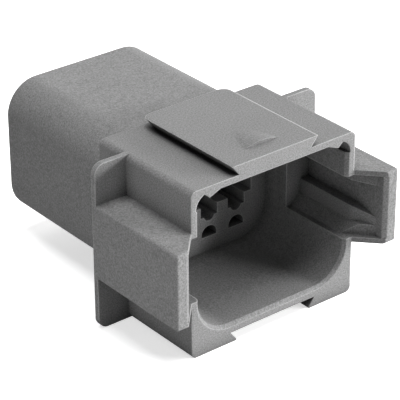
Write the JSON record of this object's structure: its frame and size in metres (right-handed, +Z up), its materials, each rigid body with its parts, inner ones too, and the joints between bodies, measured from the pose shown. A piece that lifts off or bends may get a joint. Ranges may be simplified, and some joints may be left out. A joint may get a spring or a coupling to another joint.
{
  "type": "connector socket",
  "caption": "Flanged rectangular socket half of a sealed multi-way cable connector, with side latch housings, dovetail rail and rear wire seal.",
  "frame": {"origin": "on the underside, below the middle of the length and width", "axes": "+Y from the open mouth to the wire side, +Z up towards the dovetail rail, +X across"},
  "size_m": [0.037, 0.0458, 0.0259],
  "materials": {
    "housing_plastic": "fine matte moulded grain",
    "seal_silicone": "satin silicone"
  },
  "bodies": {
    "root": {"housing": "housing_plastic", "wire_seal": "seal_silicone"}
  },
  "joints": []
}
